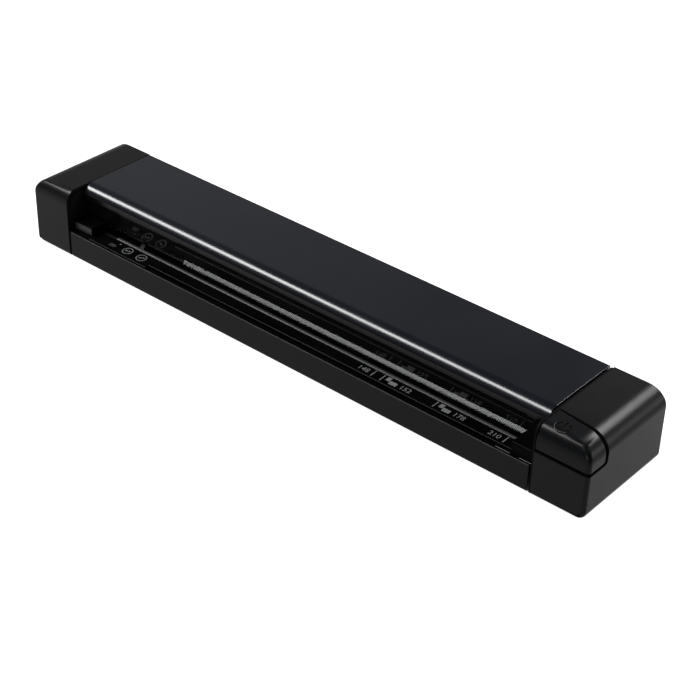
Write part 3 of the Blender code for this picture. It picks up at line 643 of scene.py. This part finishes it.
def power_button():
    """The cap's own shape cut down to its front top corner, with a sunken power symbol and a stem."""
    low, high = span("power_button")
    button = cap_solid("power_button_shell", "right_cap", 1, 0)
    cut(button, cap_solid("cavity", "right_cap", 1, WALL))
    keep = corner_profile(low[1] - 2, high[1], BUTTON_Z, high[2] + 2, BUTTON_CORNER)
    change(button, slanted(prism("keep", keep, "x", low[0], high[0] + 2), BUTTON_SLANT), "INTERSECT")
    soften(button, 0.2)
    depth_z = (BUTTON_Z, high[2] + 1)
    for tool in power_symbol(SYMBOL_CENTRE, SYMBOL_RADIUS, SYMBOL_STROKE, depth_z):
        cut(tool, cap_solid("depth", "right_cap", 1, SYMBOL_DEPTH))
        cut(button, tool)
    stem = circle(STEM_CENTRE, STEM_RADIUS, 24)
    join(button, prism("stem", stem, "z", low[2], high[2] - WALL / 2))
    place(shade(button), MATERIALS["button"], "button", "cover_satin", "power_button")
    # painted shade: near-black fills on the floor of the sunken ring and bar
    floor_z = high[2] - SYMBOL_DEPTH
    shade_fill_z = (floor_z - 0.05, floor_z + 0.05)
    shade_fills = power_symbol(SYMBOL_CENTRE, SYMBOL_RADIUS, SYMBOL_STROKE - 0.1, shade_fill_z)
    for name, shade_fill in zip(("symbol_ring_shade", "symbol_bar_shade"), shade_fills):
        shade_fill.name = name
        place(shade_fill, MATERIALS["painted_shade"], "button", "cover_satin")
    # painted highlight: a light arc along the ring's lower left, where the engraving's edge catches the
    # light
    highlight_radius = SYMBOL_RADIUS + SYMBOL_STROKE / 2 + SYMBOL_HIGHLIGHT
    rim = arc(*SYMBOL_CENTRE, highlight_radius + SYMBOL_HIGHLIGHT / 2, 170, 320, 24)
    rim += arc(*SYMBOL_CENTRE, highlight_radius - SYMBOL_HIGHLIGHT / 2, 320, 170, 24)
    line = prism("symbol_highlight", rim, "z", high[2] - 0.05, high[2] + 0.01)
    place(line, MATERIALS["rim"], "button", "cover_satin")


def top_cover():
    """One even wall from the rolled front lip over the top and down the back, open at the paper exit."""
    low, high = span("top_cover")
    top, rear = high[2], high[1]
    lip_z = top - LIP_RADIUS
    outer = arc(LIP_Y, lip_z, LIP_RADIUS, LIP_END_ANGLE, 90, 48)
    back = arc(rear - COVER_CORNER, top - COVER_CORNER, COVER_CORNER, 90, 0, 8)
    corner = [(rear, low[2]), (rear - WALL, low[2]), (rear - WALL, top - WALL)]
    inner = arc(LIP_Y, lip_z, LIP_RADIUS - WALL, 90, LIP_END_ANGLE, 24)
    cover = prism("top_cover_shell", outer + back + corner + inner, "x", low[0], high[0])
    cut(cover, block("window", EXIT_X, (rear - 4, rear + 2), (0, EXIT_TOP_Z)))
    soften(cover, 0.14, segments=2, angle=40)
    place(shade(cover), MATERIALS["cover"], "casing", "cover_satin", "top_cover")


def lower_housing():
    """Trough with a rebate behind its front rim and sunken screw holes in its floor."""
    low, high = span("lower_housing")
    front, rear, base = low[1], high[1], low[2]
    inner_front, inner_rear, floor_z = front + WALL - 0.3, rear - WALL, base + WALL
    near, far = HOUSING_FRONT_CORNER, HOUSING_REAR_CORNER
    outline = [(front, HOUSING_RIM_Z)] + arc(front + near, base + near, near, 180, 270, 12)
    outline += arc(rear - far, base + far, far, 270, 360, 8)
    outline += [(rear, HOUSING_REAR_Z), (inner_rear, HOUSING_REAR_Z), (inner_rear, floor_z)]
    outline += [(inner_front, floor_z), (inner_front, REBATE_Z)]
    outline += [(front + HOUSING_RIM, REBATE_Z), (front + HOUSING_RIM, HOUSING_RIM_Z)]
    housing = prism("lower_housing_shell", outline, "x", low[0], high[0])
    for i in range(1, 5):
        centre = disc(f"housing_screw_{i}")[0]
        cut(housing, prism("hole", circle(centre, SCREW_HOLE_RADIUS, 32), "z", 0, 4))
        sink_z = base + SCREW_SINK_DEPTH
        cut(housing, prism("sink", circle(centre, SCREW_SINK_RADIUS, 48), "z", 0, sink_z))
    soften(housing, 0.15, angle=40)
    place(shade(housing), MATERIALS["housing"], "casing", "shell_matte", "lower_housing")


# ---------------------------------------------------------------- paper path

def feed_ledge():
    """Flat ledge with a ridge along it that rolls down to the roller, a guide groove and a lever slot."""
    low, high = span("input_ledge")
    front, rear = low[1], high[1]
    under, front_z = LEDGE_Z - LEDGE_THICK, LEDGE_Z - LEDGE_FRONT_DROP
    rear_z, rear_low_z = (LEDGE_Z - drop for drop in LEDGE_REAR_DROP)
    rise = math.degrees(math.acos((RIDGE_RADIUS - RIDGE_HEIGHT) / RIDGE_RADIUS))
    ridge = arc(RIDGE_Y, LEDGE_Z + RIDGE_HEIGHT - RIDGE_RADIUS, RIDGE_RADIUS, 90 + rise, 15, 24)
    outline = [(front, front_z), (front, LEDGE_Z)] + ridge
    outline += [(rear, rear_z), (rear, rear_low_z), (RIDGE_Y + 1.1, rear_low_z)]
    outline += [(RIDGE_Y + 0.4, under), (LEDGE_FRONT_BACK_Y, under), (LEDGE_FRONT_BACK_Y, front_z)]
    ledge = prism("feed_ledge", outline, "x", low[0], high[0])
    groove_x, groove_z = (GROOVE_LEFT_X, high[0] + 2), (GROOVE_Z, LEDGE_Z + 2)
    groove = block("groove", groove_x, (front - 2, GROOVE_Y), groove_z)
    lever_low, lever_high = span("sensor_lever")
    middle = (lever_low[0] + lever_high[0]) / 2
    slot_x = (middle - LEVER_SLOT_HALF, middle + LEVER_SLOT_HALF)
    slot = block("slot", slot_x, (LEVER_SLOT_Y, rear + 2), (LEDGE_Z - 4, LEDGE_Z + 2))
    cut(ledge, groove, slot)
    soften(ledge, 0.15, angle=40)
    place(shade(ledge), MATERIALS["ledge"], "casing", "gloss_black", "input_ledge")


def mirror_wall():
    """Polished wall under the lip, with a satin strip along its top."""
    low, high = span("upper_guide")
    y_top, y_low = low[1], high[1] - MIRROR_THICK
    z_low = low[2]
    slope = (y_top - y_low) / (high[2] - z_low)

    def slab(name, z_from, z_to):
        y_from, y_to = (y_low + slope * (z - z_low) for z in (z_from, z_to))
        outline = [(y_to, z_to), (y_from, z_from)]
        outline += [(y_from + MIRROR_THICK, z_from), (y_to + MIRROR_THICK, z_to)]
        return prism(name, outline, "x", low[0], high[0])

    wall = slab("mirror_wall", z_low, MIRROR_TOP_Z)
    place(shade(wall), MATERIALS["gloss"], "casing", "gloss_black", "upper_guide")
    strip = slab("mirror_wall_strip", MIRROR_TOP_Z, high[2] + MIRROR_RISE)
    place(shade(strip), MATERIALS["strip"], "casing", "gloss_black")


def band_z(edge_z):
    """Heights between which a painted highlight band lies along an edge at edge_z."""
    return edge_z - BAND_SUNK, edge_z + BAND_PROUD


def guide_profile(low, high, nose):
    """Side view of a paper guide: stepped under the ridge, rounded over its front."""
    front, back, base, top = low[1], high[1], low[2], high[2]
    step_y = RIDGE_Y - RIDGE_RADIUS - 0.1
    over = LEDGE_Z + RIDGE_HEIGHT + 0.3
    outline = [(front, base), (step_y, base), (step_y, over), (back, over), (back, top)]
    return outline + arc(front + nose, top - nose, nose, 90, 180, 14)


def left_stop():
    """Fixed stop at the scale's zero, with a smoother, lighter face piece on its front; its lighter colour
    is painted light on the lit front face.
    """
    low, high = span("left_guide_stop")
    stop = prism("left_stop_block", guide_profile(low, high, STOP_NOSE), "x", low[0], high[0])
    soften(stop, 0.15)
    place(shade(stop), MATERIALS["ledge"], "casing", "gloss_black", "left_guide_stop")
    # painted light: a lighter, shinier face piece over the block's front, which catches the light
    face_x, face_y = (low[0] + 0.4, high[0] - 0.3), (low[1] - 0.03, low[1] + 0.2)
    face = block("left_stop_lit_face", face_x, face_y, (low[2] + 0.3, high[2] - 0.35))
    place(face, MATERIALS["stop"], "casing", "gloss_black")


def sliding_guide():
    """Guide block whose neck and shoe run in the groove; the shoe's top edge carries a painted highlight."""
    low, high = span("paper_guide")
    base = LEDGE_Z + 0.3
    profile = guide_profile([GUIDE_X[0], GUIDE_FRONT_Y, base], [GUIDE_X[1], high[1], high[2]], GUIDE_NOSE)
    guide = prism("sliding_guide_block", profile, "x", *GUIDE_X)
    shoe_back = GROOVE_Y - 0.4
    neck = block("neck", GUIDE_X, (GUIDE_FRONT_Y, shoe_back), (GUIDE_SHOE_TOP_Z - 0.5, base + 0.2))
    shoe = block("shoe", (low[0], high[0]), (low[1], shoe_back), (low[2], GUIDE_SHOE_TOP_Z))
    join(guide, neck, shoe)
    soften(guide, 0.25)
    place(shade(guide), MATERIALS["ledge"], "sliding_guide", "gloss_black", "paper_guide")
    edges = ((low[0] + 1, GUIDE_X[0] - 0.3), (GUIDE_X[1] - 5.3, GUIDE_X[1]))
    for i, edge_x in enumerate(edges, 1):
        # painted highlight: bands in the light print colour along the shoe's top edge
        shoe_highlight_band = block(f"shoe_highlight_{i}", edge_x, (low[1] + 0.02, low[1] + 0.3), band_z(GUIDE_SHOE_TOP_Z))
        place(shoe_highlight_band, MATERIALS["ink"], "sliding_guide", "gloss_black")


def ledge_edges():
    """Narrow lighter bands that paint on the highlights of the ridge top, the groove's edge and the housing
    rim.
    """
    low, high = span("input_ledge")
    half = RIDGE_HIGHLIGHT_WIDTH / 2
    rise = math.degrees(math.asin(half / RIDGE_RADIUS))
    centre_z = LEDGE_Z + RIDGE_HEIGHT - RIDGE_RADIUS
    crown = arc(RIDGE_Y, centre_z, RIDGE_RADIUS + 0.03, 90 + rise, 90 - rise, 8)
    under = arc(RIDGE_Y, centre_z, RIDGE_RADIUS - 0.2, 90 - rise, 90 + rise, 8)
    ridge = prism("ridge_highlight", crown + under, "x", *RIDGE_HIGHLIGHT_X)
    place(shade(ridge), MATERIALS["painted_highlight"], "casing", "gloss_black")
    groove_x, groove_y = (GROOVE_LEFT_X, high[0] - 0.3), (GROOVE_Y + 0.02, GROOVE_Y + EDGE_HIGHLIGHT_WIDTH)
    groove = block("groove_edge_highlight", groove_x, groove_y, band_z(LEDGE_Z))
    place(groove, MATERIALS["painted_highlight"], "casing", "gloss_black")
    front_x = (span("left_guide_stop")[1][0], GROOVE_LEFT_X - 0.1)
    front_y = (low[1] + 0.02, low[1] + EDGE_HIGHLIGHT_WIDTH)
    front = block("ledge_front_highlight", front_x, front_y, band_z(LEDGE_Z))
    place(front, MATERIALS["painted_highlight"], "casing", "gloss_black")
    # painted highlight: a light band along the housing rim's front top edge
    rim_low, rim_high = span("lower_housing")
    rim_x = (rim_low[0] + 0.2, rim_high[0] - 0.2)
    rim_y = (rim_low[1] + 0.12, rim_low[1] + 0.12 + EDGE_HIGHLIGHT_WIDTH)
    rim = block("rim_highlight", rim_x, rim_y, band_z(HOUSING_RIM_Z))
    place(rim, MATERIALS["rim"], "casing", "shell_matte")


# ---------------------------------------------------------------- marks on the ledge

def mark(name, outlines, ink="ink"):
    """Thin raised ink shapes on the ledge, joined into one piece."""
    ink_z = [LEDGE_Z + z for z in INK_Z]
    pieces = [prism(name, outline, "z", *ink_z) for outline in outlines]
    first = pieces[0]
    bm = bmesh.new()
    for piece in pieces:
        bm.from_mesh(piece.data)
    bm.to_mesh(first.data)
    bm.free()
    for piece in pieces[1:]:
        bpy.data.objects.remove(piece)
    return place(first, MATERIALS[ink], "casing", "gloss_black")


def rectangle(x, y, width, height):
    return [(x, y), (x + width, y), (x + width, y + height), (x, y + height)]


def ring(name, centre, outer, inner):
    """Flat printed ring."""
    bm = bmesh.new()
    steps = 48
    under, top = INK_Z
    loops = []
    for radius, z in ((inner, under), (inner, top), (outer, top), (outer, under)):
        points = circle(centre, radius, steps)
        loops.append([bm.verts.new(on_axis("z", LEDGE_Z + z, point)) for point in points])
    for loop, after in zip(loops, loops[1:] + loops[:1]):
        for i in range(steps):
            j = (i + 1) % steps
            bm.faces.new((loop[i], loop[j], after[j], after[i]))
    return place(new_piece(name, bm), MATERIALS["icon_ink"], "casing", "gloss_black")


def icons():
    """Two ringed pictograms, a small sheet outline and a dot at the left end of the ledge."""
    for i, x in enumerate(ICON_X, 1):
        ring(f"icon_ring_{i}", (x, ICON_Y), *ICON_RADII)
    x, y = ICON_X[0], ICON_Y
    sheets = [rectangle(x - 1.25, y - 0.55, 0.9, 1.1), rectangle(x + 0.35, y - 0.55, 0.9, 1.1)]
    mark("icon_sheets", sheets, "icon_ink")
    x = ICON_X[1]
    slash = [(x - 1.5, y - 0.55), (x - 0.95, y - 0.95), (x + 1.5, y + 0.55), (x + 0.95, y + 0.95)]
    mark("icon_slash", [slash], "icon_ink")
    ring("icon_dot", DOT_CENTRE, 0.45, 0.02)
    x, y = SHEET_CENTRE
    page = [(x - 1.9, y - 0.9), (x + 1.3, y - 0.9), (x + 1.9, y + 0.2)]
    page += [(x + 0.6, y + 1.1), (x - 1.9, y + 0.9)]
    mark("icon_page", [page], "faint_ink")


def scale_marks():
    """A tick for each paper width, and two small pages beside the middle two."""
    width, depth = TICK_SIZE
    ticks = [rectangle(SCALE_ZERO_X + d - width / 2, TICK_Y, width, depth) for d in SCALE_WIDTHS]
    mark("scale_ticks", ticks)
    for i, distance in enumerate(PAGE_WIDTHS, 1):
        x = SCALE_ZERO_X + distance + PAGE_GAP
        upright = rectangle(x, -18.2, 1.9, 2.3)
        lying = rectangle(x + 2.2, -19.4, 3.4, 2.1)
        mark(f"page_mark_{i}", [upright, lying])


def number(name, text, x):
    """A flat number lying on the ledge, read from the front."""
    curve = bpy.data.curves.new(name, "FONT")
    curve.body = text
    curve.size = NUMBER_HEIGHT / DIGIT_SHARE * MM
    curve.extrude = NUMBER_HALF_THICK * MM
    curve.align_x = "LEFT"
    letters = bpy.data.objects.new(name, curve)
    letters.location = (x * MM, NUMBER_Y * MM, (LEDGE_Z + NUMBER_Z) * MM)
    bpy.context.scene.collection.objects.link(letters)
    bpy.context.view_layer.update()
    view = bpy.context.evaluated_depsgraph_get()
    mesh = bpy.data.meshes.new_from_object(letters.evaluated_get(view))
    mesh.transform(letters.matrix_world)
    bpy.data.objects.remove(letters)
    piece = bpy.data.objects.new(name, mesh)
    bpy.context.scene.collection.objects.link(piece)
    return place(piece, MATERIALS["ink"], "casing", "gloss_black")


def width_numbers():
    """Each tick's width in millimetres, right of its pages where it has them and left of it elsewhere."""
    for distance in SCALE_WIDTHS:
        text = str(round(distance))
        offset = NUMBER_RIGHT if distance in PAGE_WIDTHS else NUMBER_LEFT
        number(f"width_{text}", text, SCALE_ZERO_X + distance + offset)


# ---------------------------------------------------------------- small hardware

def feet():
    for i in range(1, 5):
        low, high = span(f"foot_{i}")
        centre, radius = disc(f"foot_{i}")
        foot = prism(f"foot_pad_{i}", circle(centre, radius, 64), "z", low[2], high[2])
        soften(foot, 0.25, segments=4)
        place(shade(foot), MATERIALS["foot"], "casing", "foot_rubber", f"foot_{i}")


def screws():
    """Screws with a cross drive, heads down."""
    for i in range(1, 5):
        low, high = span(f"housing_screw_{i}")
        x, y = centre = disc(f"housing_screw_{i}")[0]
        rim = circle(centre, SCREW_HEAD_RADIUS, 48)
        head = prism(f"screw_head_{i}", rim, "z", low[2], low[2] + SCREW_HEAD_HEIGHT)
        soften(head, 0.2)
        shank = circle(centre, SCREW_SHANK_RADIUS, 24)
        join(head, prism("shank", shank, "z", low[2] + 0.3, high[2]))
        for width, depth in (SCREW_DRIVE, SCREW_DRIVE[::-1]):
            slot_x, slot_y = (x - width / 2, x + width / 2), (y - depth / 2, y + depth / 2)
            cut(head, block("drive", slot_x, slot_y, (low[2] - 1, low[2] + SCREW_DRIVE_DEPTH)))
        place(shade(head), MATERIALS["steel"], "casing", "steel", f"housing_screw_{i}")


def round_node(node, bore, material, body, slot, chamfer=0.25):
    """Stand a finely turned ring or rod in for a round CAD node that lies along X."""
    low, high = span(node)
    centre = ((low[1] + high[1]) / 2, (low[2] + high[2]) / 2)
    radius = (high[2] - low[2]) / 2
    left, right = low[0], high[0]
    inner = max(bore, 0.02)
    profile = [(left, inner), (left, radius - chamfer), (left + chamfer, radius)]
    profile += [(right - chamfer, radius), (right, radius - chamfer), (right, inner)]
    piece = lathe(node + "_turned", centre, profile)
    place(shade(piece), MATERIALS[material], body, slot, node)


def rollers():
    round_node("platen_sleeve", 2.3, "roller", "platen_roller", "roller_grey", 0.4)
    round_node("platen_shaft", 0, "steel", "platen_roller", "steel")
    round_node("exit_shaft", 0, "steel", "exit_roller", "steel")
    round_node("pinch_shaft", 0, "steel", "pinch_rollers", "steel")
    for i in range(1, 4):
        round_node(f"exit_tyre_{i}", 2.3, "roller", "exit_roller", "roller_grey", 0.4)
        round_node(f"pinch_roller_{i}", 1.3, "nylon", "pinch_rollers", "nylon", 0.3)


def usb_socket():
    """Steel shell open to the back, with a contact tongue in it."""
    low, high = span("usb_socket")

    def radius_of(axis, ends):
        return USB_CORNER if axis == 1 else 0.0

    shell = rounded_block("usb_shell", low, high, radius_of, 6)
    inner_low = [low[0] + USB_WALL, low[1] + 1.2, low[2] + USB_WALL]
    inner_high = [high[0] - USB_WALL, high[1] + 1, high[2] - USB_WALL]
    cut(shell, rounded_block("cavity", inner_low, inner_high, radius_of, 6))
    soften(shell, 0.08, segments=2)
    place(shade(shell), MATERIALS["steel"], "casing", "steel", "usb_socket")
    tongue_x, tongue_y = (low[0] + 1.6, high[0] - 1.6), (low[1] + 1.0, high[1] - 0.9)
    middle_z = (low[2] + high[2]) / 2
    tongue = block("usb_tongue", tongue_x, tongue_y, (middle_z, middle_z + 0.7))
    soften(tongue, 0.1, segments=2)
    place(shade(tongue), MATERIALS["inner"], "casing", "inner_black")


def coil_spring(node, turns, moving_body, moving_end):
    """Wire coil in a CAD spring's place, one end on the casing and the other on the moving body."""
    low, high = span(node)
    centre = [(a + b) / 2 for a, b in zip(low, high)]
    radius = (high[0] - low[0]) / 2 - SPRING_WIRE
    height = high[2] - low[2] - 2 * SPRING_WIRE
    steps, sides = turns * SPRING_TURN_STEPS, SPRING_SIDES
    bm = bmesh.new()
    rings = []
    for i in range(steps + 1):
        angle = math.tau * turns * i / steps
        z = low[2] + SPRING_WIRE + height * i / steps
        ring_verts = []
        for j in range(sides):
            across = math.tau * j / sides
            reach = radius + SPRING_WIRE * math.cos(across)
            point = (centre[0] + reach * math.cos(angle), centre[1] + reach * math.sin(angle),
                     z + SPRING_WIRE * math.sin(across))
            ring_verts.append(bm.verts.new(Vector(point) * MM))
        rings.append(ring_verts)
    for a, b in zip(rings, rings[1:]):
        for j in range(sides):
            k = (j + 1) % sides
            bm.faces.new((a[j], a[k], b[k], b[j]))
    bm.faces.new(rings[0][::-1])
    bm.faces.new(rings[-1])
    spring = new_piece(f"{node}_coil", bm)
    spring.data.materials.append(MATERIALS["steel"])
    ends = {"top": high[2], "bottom": low[2]}
    moving_z = ends.pop(moving_end)
    fixed_z, = ends.values()
    start, end = (Vector((centre[0], centre[1], z)) * MM for z in (fixed_z, moving_z))
    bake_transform(spring, "casing", moving_body, start=tuple(start), end=tuple(end))
    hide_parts(node)


def springs():
    coil_spring("button_spring", 5, "button", "top")
    coil_spring("cis_spring_left", 3, "image_sensor", "bottom")
    coil_spring("cis_spring_right", 3, "image_sensor", "bottom")


NODE_LOOKS = {
    "steel": ["motor", "motor_shaft", "idler_pin", "compound_pin", "cover_stiffener"],
    "bronze": ["platen_bush_left", "platen_bush_right", "exit_bush_left", "exit_bush_right"],
    "nylon": ["platen_gear", "idler_gear", "exit_gear", "compound_gear", "motor_pinion",
              "pinch_clip_1", "pinch_clip_2"],
    "board": ["cis_board", "main_board", "switch_board"],
    "chassis": ["left_side_plate", "right_side_plate", "paper_deck", "exit_guide", "sensor_lever",
                "cis_glass"],
    "inner": ["cis_housing", "sensor_gate", "tact_switch", "controller_chip"],
}


def dress_nodes():
    """Procedural materials for the CAD nodes that stay."""
    for look, names in NODE_LOOKS.items():
        for name in names:
            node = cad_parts[name]
            node.data.materials.clear()
            node.data.materials.append(MATERIALS[look])


# ---------------------------------------------------------------- studio

def floor():
    """White paper that glows, so that it stays white under the dark studio."""
    bm = bmesh.new()
    bmesh.ops.create_grid(bm, x_segments=1, y_segments=1, size=FLOOR_HALF_WIDTH)
    piece = new_piece("studio_floor", bm)
    if piece.data.polygons[0].normal.z < 0:
        piece.data.flip_normals()
    material, shader = new_material("floor_paper", (0.12, 0.12, 0.12), 0.9, specular=0.0)
    shader.inputs["Emission Color"].default_value = (1.0, 1.0, 1.0, 1.0)
    shader.inputs["Emission Strength"].default_value = 1.0
    piece.data.materials.append(material)


def softbox(name, direction, distance, size, watts):
    """Area light at a distance along a direction, facing the object, its first side towards +X."""
    light = bpy.data.lights.new(name, "AREA")
    light.shape = "RECTANGLE"
    light.size, light.size_y = size
    light.energy = watts
    lamp = bpy.data.objects.new(name, light)
    back = Vector(direction).normalized()
    lengthwise = Vector((1, 0, 0))
    side = (lengthwise - back * back.dot(lengthwise)).normalized()
    turn = Matrix((side, back.cross(side), back)).transposed().to_4x4()
    lamp.matrix_world = Matrix.Translation(back * distance) @ turn
    bpy.context.scene.collection.objects.link(lamp)


def backdrop():
    """World light: dark but for a bright patch low beyond the left end, and a glow at the horizon."""
    world = bpy.data.worlds.new("studio")
    world.use_nodes = True
    nodes, links = world.node_tree.nodes, world.node_tree.links
    coords = nodes.new("ShaderNodeTexCoord")
    towards = nodes.new("ShaderNodeVectorMath")
    towards.operation = "DOT_PRODUCT"
    towards.inputs[1].default_value = BACKDROP_DIRECTION
    links.new(coords.outputs["Generated"], towards.inputs[0])
    falloff = nodes.new("ShaderNodeMapRange")
    falloff.inputs["From Min"].default_value = BACKDROP_EDGE[0]
    falloff.inputs["From Max"].default_value = BACKDROP_EDGE[1]
    falloff.inputs["To Min"].default_value = BACKDROP_DARK
    falloff.inputs["To Max"].default_value = BACKDROP_BRIGHT
    falloff.interpolation_type = "SMOOTHSTEP"
    links.new(towards.outputs["Value"], falloff.inputs["Value"])
    height = nodes.new("ShaderNodeSeparateXYZ")
    links.new(coords.outputs["Generated"], height.inputs["Vector"])
    horizon = nodes.new("ShaderNodeMapRange")
    horizon.inputs["From Min"].default_value = HORIZON_HEIGHT[0]
    horizon.inputs["From Max"].default_value = HORIZON_HEIGHT[1]
    horizon.inputs["To Min"].default_value = HORIZON_GLOW
    horizon.inputs["To Max"].default_value = 0.0
    links.new(height.outputs["Z"], horizon.inputs["Value"])
    total = nodes.new("ShaderNodeMath")
    total.operation = "ADD"
    links.new(falloff.outputs["Result"], total.inputs[0])
    links.new(horizon.outputs["Result"], total.inputs[1])
    links.new(total.outputs["Value"], nodes["Background"].inputs["Strength"])
    nodes["Background"].inputs["Color"].default_value = (1, 1, 1, 1)
    bpy.context.scene.world = world


def studio():
    floor()
    backdrop()
    softbox("lip_strip", (-0.53, -0.33, 0.78), distance=1.2, size=(0.95, 0.29), watts=48)
    softbox("back", (0.20, 0.63, 0.75), distance=0.9, size=(0.35, 0.30), watts=16)
    softbox("back_low", (0.66, 0.66, 0.26), distance=1.0, size=(0.60, 0.30), watts=4)
    softbox("front_fill", (0.30, -0.85, 0.42), distance=1.2, size=(0.60, 0.35), watts=6)
    bpy.context.scene.view_settings.view_transform = "Standard"


def camera():
    azimuth, elevation = math.radians(CAMERA_AZIMUTH), math.radians(CAMERA_ELEVATION)
    level = math.cos(elevation)
    forward = Vector((-math.sin(azimuth) * level, math.cos(azimuth) * level, -math.sin(elevation)))
    data = bpy.data.cameras.new("camera")
    data.lens = CAMERA_LENS
    data.clip_start = 0.01
    eye = bpy.data.objects.new("camera", data)
    turn = forward.to_track_quat("-Z", "Y").to_matrix().to_4x4()
    roll = Matrix.Rotation(math.radians(CAMERA_ROLL), 4, "Z")
    place_at = (Vector(CAMERA_AIM) - forward * CAMERA_DISTANCE) * MM
    eye.matrix_world = Matrix.Translation(place_at) @ turn @ roll
    bpy.context.scene.collection.objects.link(eye)
    bpy.context.scene.camera = eye


camera()
studio()
left_cap()
right_cap()
seam_liner()
power_button()
top_cover()
lower_housing()
feed_ledge()
mirror_wall()
left_stop()
sliding_guide()
ledge_edges()
scale_marks()
icons()
width_numbers()
feet()
screws()
rollers()
usb_socket()
springs()
dress_nodes()
